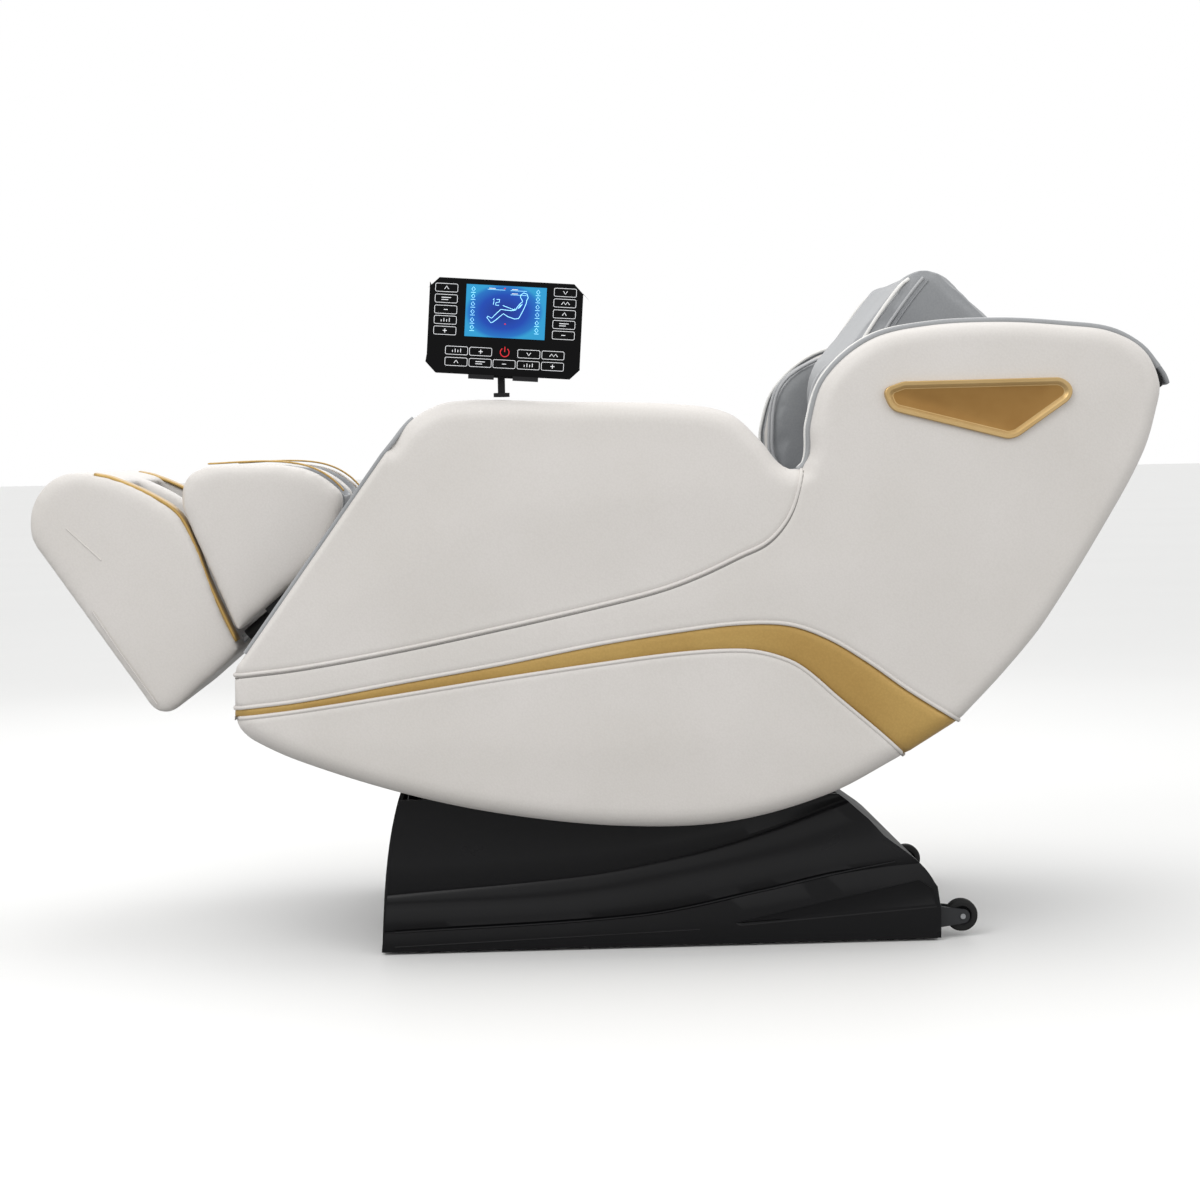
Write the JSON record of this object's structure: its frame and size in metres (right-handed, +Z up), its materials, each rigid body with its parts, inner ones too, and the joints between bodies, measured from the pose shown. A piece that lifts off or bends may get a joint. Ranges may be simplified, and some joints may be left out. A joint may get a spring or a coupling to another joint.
{
  "type": "massage chair",
  "caption": "Reclining zero-gravity massage chair with padded rocker side walls on a low base, calf and foot channels, head pillow, roller carriage and a swivelling control tablet.",
  "frame": {"origin": "on the floor, under the middle of the reclined chair's bounding box", "axes": "+X to the head end, the sitter faces -X, the sitter's left side is -Y, +Z up"},
  "size_m": [1.7442, 0.74, 1.0362],
  "materials": {
    "ivory_leather": "soft-touch PU leather",
    "grey_leather": "soft PU leather",
    "gold_leather": "metallic PU leather",
    "gold_plastic": "metallised ABS",
    "black_abs": "gloss",
    "black_steel": "black powder coat",
    "bright_steel": "ground",
    "rubber": "matt",
    "tyre": "matt",
    "grey_plastic": "fine texture",
    "nylon": "natural nylon",
    "roller_plastic": "soft-touch",
    "screen": "lit LCD",
    "actuator": "satin"
  },
  "bodies": {
    "base": {"base_rails": "black_steel", "base_crossbars": "black_steel", "base_covers": "black_abs", "base_ends": "black_abs", "rubber_feet": "rubber", "wheel_brackets": "black_steel", "wheel_axles": "bright_steel", "power_supply": "grey_plastic", "power_panel": "black_abs", "power_inlet": "grey_plastic"},
    "wheel_left": {"transport_wheel_left": "tyre"},
    "wheel_right": {"transport_wheel_right": "tyre"},
    "rocker": {"power_rocker": "grey_plastic"},
    "tilt_motor": {"tilt_actuator_body": "actuator"},
    "tilt_rod": {"tilt_actuator_rod": "bright_steel"},
    "shell": {"side_panel_left": "ivory_leather", "side_panel_right": "ivory_leather", "armrest_panels": "ivory_leather", "belt_trims": "gold_leather", "lower_panels": "ivory_leather", "wing_badges": "gold_plastic", "seat_cushion": "grey_leather", "back_pad": "grey_leather", "shoulder_pads": "grey_leather", "arm_pads": "grey_leather", "frame_sides": "black_steel", "cross_tubes": "black_steel", "seat_pan": "black_steel", "guide_rails": "bright_steel", "hinge_pins": "bright_steel", "air_pump": "grey_plastic", "control_box": "grey_plastic", "top_lip": "grey_leather", "back_cover": "black_abs", "front_apron": "black_abs"},
    "pillow": {"head_pillow": "grey_leather"},
    "leg_motor": {"leg_actuator_body": "actuator"},
    "leg_rod": {"leg_actuator_rod": "bright_steel"},
    "carriage": {"carriage_frame": "black_steel", "guide_bushes": "nylon", "gearbox": "grey_plastic"},
    "shaft": {"kneading_shaft": "bright_steel"},
    "arm_left": {"massage_arm_left": "roller_plastic"},
    "arm_right": {"massage_arm_right": "roller_plastic"},
    "leg_rest": {"calf_shell": "ivory_leather", "calf_lining": "grey_leather", "calf_trim": "gold_leather", "leg_frame": "black_steel"},
    "foot_rest": {"foot_shell": "ivory_leather", "foot_lining": "grey_leather", "foot_trim": "gold_leather", "slide_rods": "bright_steel"},
    "tablet_mast": {"tablet_post": "black_abs"},
    "tablet": {"tablet_cradle": "black_abs", "tablet_housing": "black_abs", "tablet_screen": "screen"},
    "roller_upper_left": {"upper_roller_left": "roller_plastic"},
    "roller_upper_right": {"upper_roller_right": "roller_plastic"},
    "roller_lower_left": {"lower_roller_left": "roller_plastic"},
    "roller_lower_right": {"lower_roller_right": "roller_plastic"}
  },
  "joints": [
    {"name": "tilt", "type": "hinge", "parent": "base", "child": "shell", "pos_m": [-0.12, 0, 0.24], "axis": [0, -1, 0], "range_deg": [0, 25]},
    {"name": "leg_lift", "type": "hinge", "parent": "shell", "child": "leg_rest", "pos_m": [-0.4316, 0, 0.55077], "axis": [0, 1, 0], "range_deg": [-50, 0]},
    {"name": "foot_slide", "type": "slide", "parent": "leg_rest", "child": "foot_rest", "axis": [-0.767, 0, -0.6417], "range_m": [0, 0.09]},
    {"name": "pillow_flip", "type": "hinge", "parent": "shell", "child": "pillow", "pos_m": [0.634, 0, 0.937], "axis": [0, 1, 0], "range_deg": [0, 110]},
    {"name": "carriage_travel", "type": "slide", "parent": "shell", "child": "carriage", "axis": [0.6489, 0, 0.7608], "range_m": [0, 0.32]},
    {"name": "shaft_spin", "type": "hinge", "parent": "carriage", "child": "shaft", "pos_m": [0.34433, 0, 0.4731], "axis": [0, 1, 0], "continuous": true},
    {"name": "arm_left_rock", "type": "hinge", "parent": "carriage", "child": "arm_left", "pos_m": [0.34433, -0.061, 0.4731], "axis": [0, 1, 0], "range_deg": [-6, 6]},
    {"name": "arm_right_rock", "type": "hinge", "parent": "carriage", "child": "arm_right", "pos_m": [0.34433, 0.061, 0.4731], "axis": [0, 1, 0], "range_deg": [-6, 6]},
    {"name": "tilt_motor_swing", "type": "hinge", "parent": "base", "child": "tilt_motor", "pos_m": [0.275, 0, 0.066], "axis": [0, -1, 0], "range_deg": [-8, 4]},
    {"name": "tilt_rod_slide", "type": "slide", "parent": "tilt_motor", "child": "tilt_rod", "axis": [-0.6914, 0, 0.7225], "range_m": [0, 0.09]},
    {"name": "leg_motor_swing", "type": "hinge", "parent": "shell", "child": "leg_motor", "pos_m": [-0.19, 0, 0.425], "axis": [0, 1, 0], "range_deg": [-8, 8]},
    {"name": "leg_rod_slide", "type": "slide", "parent": "leg_motor", "child": "leg_rod", "axis": [-0.9815, 0, 0.1915], "range_m": [-0.072, 0]},
    {"name": "mast_swivel", "type": "hinge", "parent": "shell", "child": "tablet_mast", "pos_m": [-0.149, -0.316, 0.85], "axis": [0, 0, 1], "range_deg": [0, 180]},
    {"name": "tablet_tilt", "type": "hinge", "parent": "tablet_mast", "child": "tablet", "pos_m": [-0.149, -0.316, 0.9], "axis": [-1, 0, 0], "range_deg": [0, 30]},
    {"name": "rocker_switch", "type": "hinge", "parent": "base", "child": "rocker", "pos_m": [0.503, -0.141, 0.0315], "axis": [0, 1, 0], "range_deg": [-8, 8]},
    {"name": "wheel_left_roll", "type": "hinge", "parent": "base", "child": "wheel_left", "pos_m": [0.546, -0.261, 0.033], "axis": [0, 1, 0], "continuous": true},
    {"name": "wheel_right_roll", "type": "hinge", "parent": "base", "child": "wheel_right", "pos_m": [0.546, 0.261, 0.033], "axis": [0, 1, 0], "continuous": true},
    {"name": "upper_left_roll", "type": "hinge", "parent": "arm_left", "child": "roller_upper_left", "pos_m": [0.35982, -0.082, 0.52824], "axis": [0, 1, 0], "continuous": true},
    {"name": "upper_right_roll", "type": "hinge", "parent": "arm_right", "child": "roller_upper_right", "pos_m": [0.35982, 0.082, 0.52824], "axis": [0, 1, 0], "continuous": true},
    {"name": "lower_left_roll", "type": "hinge", "parent": "arm_left", "child": "roller_lower_left", "pos_m": [0.29233, -0.082, 0.44911], "axis": [0, 1, 0], "continuous": true},
    {"name": "lower_right_roll", "type": "hinge", "parent": "arm_right", "child": "roller_lower_right", "pos_m": [0.29233, 0.082, 0.44911], "axis": [0, 1, 0], "continuous": true}
  ],
  "couplings": [
    {"joint": "tilt_motor_swing", "follows": "tilt", "ratio": -0.21234},
    {"joint": "tilt_rod_slide", "follows": "tilt", "m_per_rad": 0.17903},
    {"joint": "leg_motor_swing", "follows": "leg_lift", "ratio": -0.03841},
    {"joint": "leg_rod_slide", "follows": "leg_lift", "m_per_rad": 0.076816},
    {"joint": "arm_right_rock", "follows": "arm_left_rock", "ratio": -1}
  ]
}
